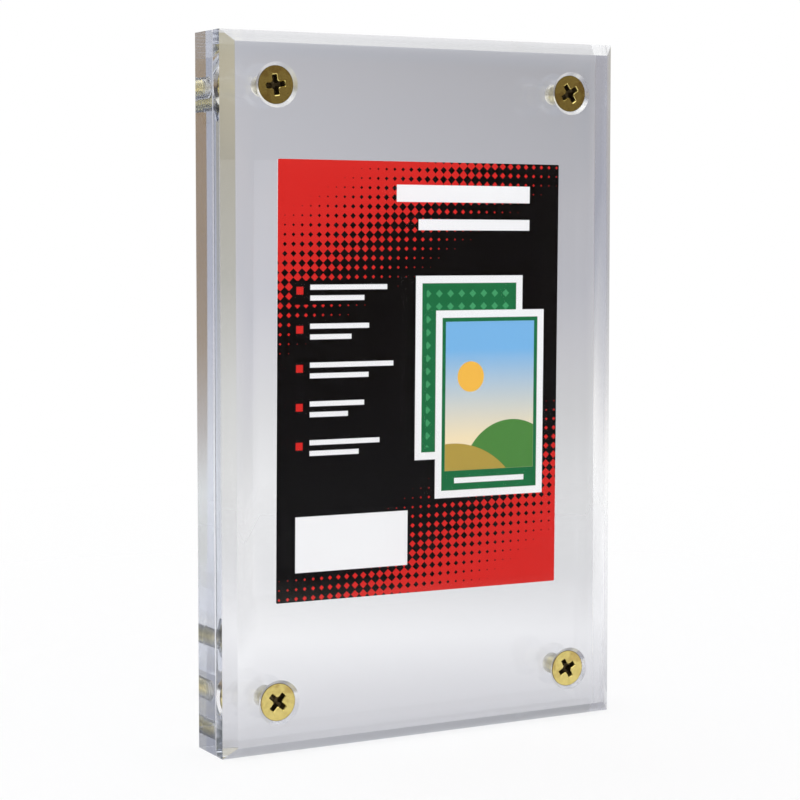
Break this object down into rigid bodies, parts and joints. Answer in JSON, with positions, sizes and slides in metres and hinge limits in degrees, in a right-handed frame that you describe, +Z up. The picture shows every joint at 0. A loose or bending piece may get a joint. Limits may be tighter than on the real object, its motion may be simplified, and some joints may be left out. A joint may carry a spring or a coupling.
{
  "type": "trading card display case",
  "caption": "Clear two-plate acrylic case that clamps one trading card between a bevelled front and a thicker back with brass corner screws.",
  "frame": {"origin": "middle of the footprint of the bottom edge that the case stands on", "axes": "+Z up along the height, -Y out of the bevelled front, +X to the right seen from the front"},
  "size_m": [0.0888, 0.0134, 0.1397],
  "materials": {
    "clear_acrylic": "polished",
    "printed_card": "satin",
    "brass": "satin"
  },
  "bodies": {
    "back": {"back_plate": "clear_acrylic"},
    "front": {"front_plate": "clear_acrylic"},
    "card": {"insert_card": "printed_card"},
    "top_left_screw": {"screw_top_left": "brass"},
    "top_right_screw": {"screw_top_right": "brass"},
    "bottom_left_screw": {"screw_bottom_left": "brass"},
    "bottom_right_screw": {"screw_bottom_right": "brass"}
  },
  "joints": [
    {"name": "front_plate_lift", "type": "slide", "parent": "back", "child": "front", "axis": [0, -1, 0], "range_m": [0, 0.008]},
    {"name": "top_left_screw_turn", "type": "hinge", "parent": "front", "child": "top_left_screw", "pos_m": [-0.03335, 0, 0.1294], "axis": [0, -1, 0], "range_deg": [0, 3628]},
    {"name": "top_right_screw_turn", "type": "hinge", "parent": "front", "child": "top_right_screw", "pos_m": [0.03335, 0, 0.1294], "axis": [0, -1, 0], "range_deg": [0, 3628]},
    {"name": "bottom_left_screw_turn", "type": "hinge", "parent": "front", "child": "bottom_left_screw", "pos_m": [-0.03335, 0, 0.0103], "axis": [0, -1, 0], "range_deg": [0, 3628]},
    {"name": "bottom_right_screw_turn", "type": "hinge", "parent": "front", "child": "bottom_right_screw", "pos_m": [0.03335, 0, 0.0103], "axis": [0, -1, 0], "range_deg": [0, 3628]},
    {"name": "card_lift", "type": "slide", "parent": "back", "child": "card", "axis": [0, -1, 0], "range_m": [0, 0.004]}
  ],
  "couplings": [
    {"joint": "top_left_screw_turn", "follows": "front_plate_lift", "rad_per_m": 7913.3},
    {"joint": "top_right_screw_turn", "follows": "front_plate_lift", "rad_per_m": 7913.3},
    {"joint": "bottom_left_screw_turn", "follows": "front_plate_lift", "rad_per_m": 7913.3},
    {"joint": "bottom_right_screw_turn", "follows": "front_plate_lift", "rad_per_m": 7913.3},
    {"joint": "card_lift", "follows": "front_plate_lift", "ratio": 0.5}
  ]
}
